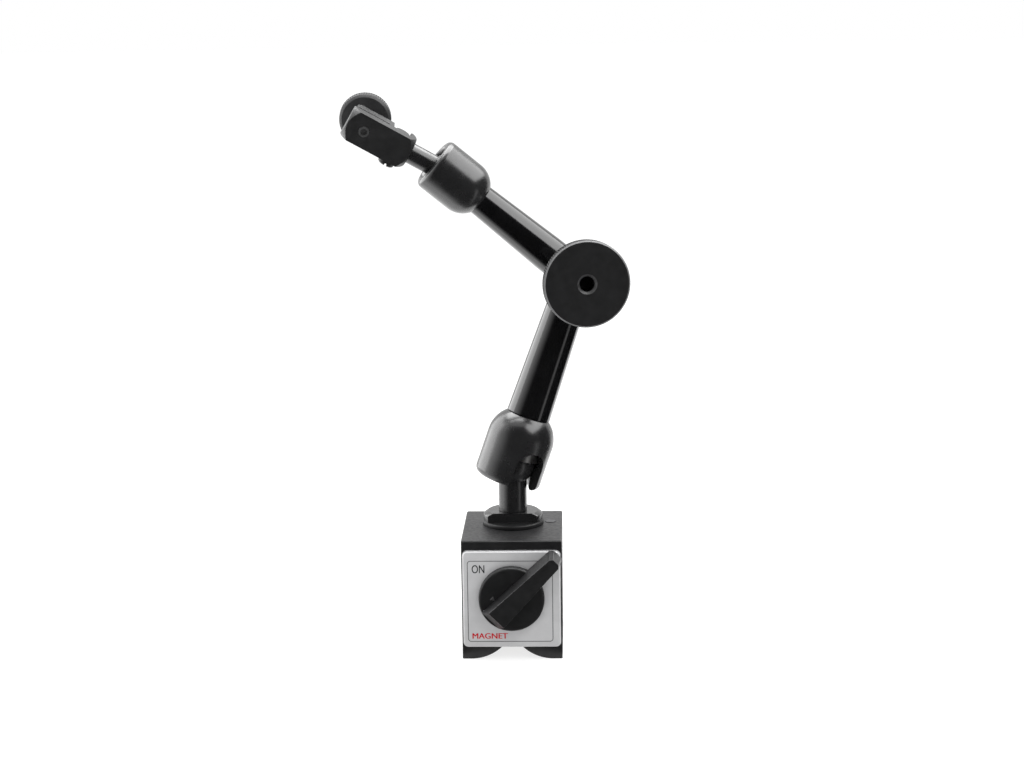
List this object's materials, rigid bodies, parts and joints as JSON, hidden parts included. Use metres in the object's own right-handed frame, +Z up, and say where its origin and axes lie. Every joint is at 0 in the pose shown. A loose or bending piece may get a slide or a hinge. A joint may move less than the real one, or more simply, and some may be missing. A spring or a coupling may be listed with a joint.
{
  "type": "articulated holder on a magnetic base",
  "caption": "Small jointed holder arm with ball joints, a central locking knob and a clamp tip, standing on a switchable V-groove magnetic base.",
  "frame": {"origin": "bottom centre of the magnetic base, on the plane its feet rest on", "axes": "+Z up, -Y towards the face plate and switch, +X to the right seen from the face plate; the groove runs along Y"},
  "size_m": [0.0859, 0.0497, 0.1675],
  "materials": {
    "body_paint": "satin black paint",
    "spacer_metal": "machined",
    "plate_silver": "brushed, clear lacquer",
    "switch_plastic": "fine moulded texture",
    "oxide_satin": "black oxide, satin",
    "oxide_gloss": "black oxide, turned and polished",
    "knob_black": "black oxide, matte face with knurled rim",
    "clamp_black": "black oxide, milled",
    "steel_bright": "ground",
    "dark_steel": "oiled black",
    "bearing_brass": "turned",
    "magnet_dark": "sintered",
    "spring_steel": "tempered"
  },
  "bodies": {
    "base": {"pole_shoe_left": "body_paint", "pole_shoe_right": "body_paint", "spacer_top_front": "body_paint", "spacer_top_rear": "body_paint", "spacer_bottom": "spacer_metal", "tie_pin_front": "steel_bright", "tie_pin_rear": "steel_bright", "top_dowel": "body_paint", "cover_screw_lower": "steel_bright", "cover_screw_upper": "steel_bright", "rear_cover": "body_paint", "front_bearing": "bearing_brass", "rear_bearing": "bearing_brass", "stop_pin": "steel_bright", "front_plate": "plate_silver", "lock_nut": "oxide_satin", "ball_stud": "oxide_satin"},
    "switch": {"magnet_rotor": "magnet_dark", "drive_spindle": "steel_bright", "switch_knob": "switch_plastic"},
    "lower_seat": {"lower_ball_seat": "bearing_brass"},
    "lower_cup": {"lower_pressure_cup": "steel_bright"},
    "lower_arm": {"lower_arm": "oxide_gloss", "lower_socket": "oxide_satin", "lower_disc_spring": "spring_steel"},
    "lower_rod": {"lower_push_rod": "steel_bright"},
    "rear_lock": {"elbow_bolt": "dark_steel", "rear_washer": "dark_steel", "rear_cone": "steel_bright", "separator_ring": "bearing_brass"},
    "front_lock": {"thrust_washer": "dark_steel", "front_cone": "steel_bright"},
    "knob": {"lock_knob": "knob_black"},
    "upper_arm": {"upper_arm": "oxide_gloss", "upper_socket": "oxide_satin", "upper_disc_spring": "spring_steel"},
    "upper_rod": {"upper_push_rod": "steel_bright"},
    "upper_cup": {"upper_pressure_cup": "steel_bright"},
    "upper_seat": {"upper_ball_seat": "bearing_brass"},
    "head": {"clamp_body": "clamp_black", "head_stud": "oxide_satin", "cross_screw": "clamp_black"},
    "jaw": {"clamp_jaw": "clamp_black", "clamp_washer": "oxide_satin"},
    "wheel": {"clamp_screw": "dark_steel", "clamp_wheel": "knob_black"}
  },
  "joints": [
    {"name": "switch_turn", "type": "hinge", "parent": "base", "child": "switch", "pos_m": [0, 0, 0.0195], "axis": [0, -1, 0], "range_deg": [0, 90]},
    {"name": "lower_swivel", "type": "hinge", "parent": "base", "child": "lower_seat", "pos_m": [0, 0.003, 0.0557], "axis": [0, 0, 1], "range_deg": [-180, 180]},
    {"name": "lower_tilt", "type": "hinge", "parent": "lower_seat", "child": "lower_cup", "pos_m": [0, 0.003, 0.0557], "axis": [-0.1736, 0.9848, 0], "range_deg": [-43, 3.8]},
    {"name": "lower_spin", "type": "hinge", "parent": "lower_cup", "child": "lower_arm", "pos_m": [0, 0.003, 0.0557], "axis": [0.3304, 0.0583, 0.9421], "range_deg": [-180, 180]},
    {"name": "elbow_fold", "type": "hinge", "parent": "lower_arm", "child": "upper_arm", "pos_m": [0.01982, 0.00649, 0.11222], "axis": [-0.1736, 0.9848, 0], "range_deg": [-48, 180]},
    {"name": "upper_spin", "type": "hinge", "parent": "upper_arm", "child": "upper_cup", "pos_m": [-0.01812, -0.00019, 0.14409], "axis": [-0.7588, -0.1338, 0.6374], "range_deg": [-180, 180]},
    {"name": "upper_tilt", "type": "hinge", "parent": "upper_cup", "child": "upper_seat", "pos_m": [-0.01812, -0.00019, 0.14409], "axis": [-0.1736, 0.9848, 0], "range_deg": [-11, 31]},
    {"name": "head_roll", "type": "hinge", "parent": "upper_seat", "child": "head", "pos_m": [-0.01812, -0.00019, 0.14409], "axis": [-0.8563, -0.151, 0.4939], "range_deg": [-180, 180]},
    {"name": "knob_turn", "type": "hinge", "parent": "front_lock", "child": "knob", "pos_m": [0.01982, 0.00649, 0.11222], "axis": [0.1736, -0.9848, 0], "range_deg": [0, 180]},
    {"name": "front_lock_travel", "type": "slide", "parent": "lower_arm", "child": "front_lock", "axis": [0.1736, -0.9848, 0], "range_m": [0, 0.0003]},
    {"name": "rear_lock_travel", "type": "slide", "parent": "lower_arm", "child": "rear_lock", "axis": [-0.1736, 0.9848, 0], "range_m": [0, 0.0003]},
    {"name": "lower_rod_travel", "type": "slide", "parent": "lower_arm", "child": "lower_rod", "axis": [0.3157, 0.1354, 0.9392], "range_m": [0, 0.00012]},
    {"name": "upper_rod_travel", "type": "slide", "parent": "upper_arm", "child": "upper_rod", "axis": [0.772, 0.0387, -0.6345], "range_m": [0, 0.00012]},
    {"name": "jaw_travel", "type": "slide", "parent": "head", "child": "jaw", "axis": [-0.0687, 0.9811, 0.1808], "range_m": [0, 0.001]},
    {"name": "wheel_turn", "type": "hinge", "parent": "jaw", "child": "wheel", "pos_m": [-0.04167, -0.00435, 0.15768], "axis": [-0.0687, 0.9811, 0.1808], "range_deg": [0, 720]}
  ],
  "couplings": [
    {"joint": "front_lock_travel", "follows": "knob_turn", "m_per_rad": 0.000095493},
    {"joint": "rear_lock_travel", "follows": "knob_turn", "m_per_rad": 0.000095493},
    {"joint": "lower_rod_travel", "follows": "knob_turn", "m_per_rad": 0.000038197},
    {"joint": "upper_rod_travel", "follows": "knob_turn", "m_per_rad": 0.000038197},
    {"joint": "jaw_travel", "follows": "wheel_turn", "m_per_rad": 0.000079577}
  ]
}
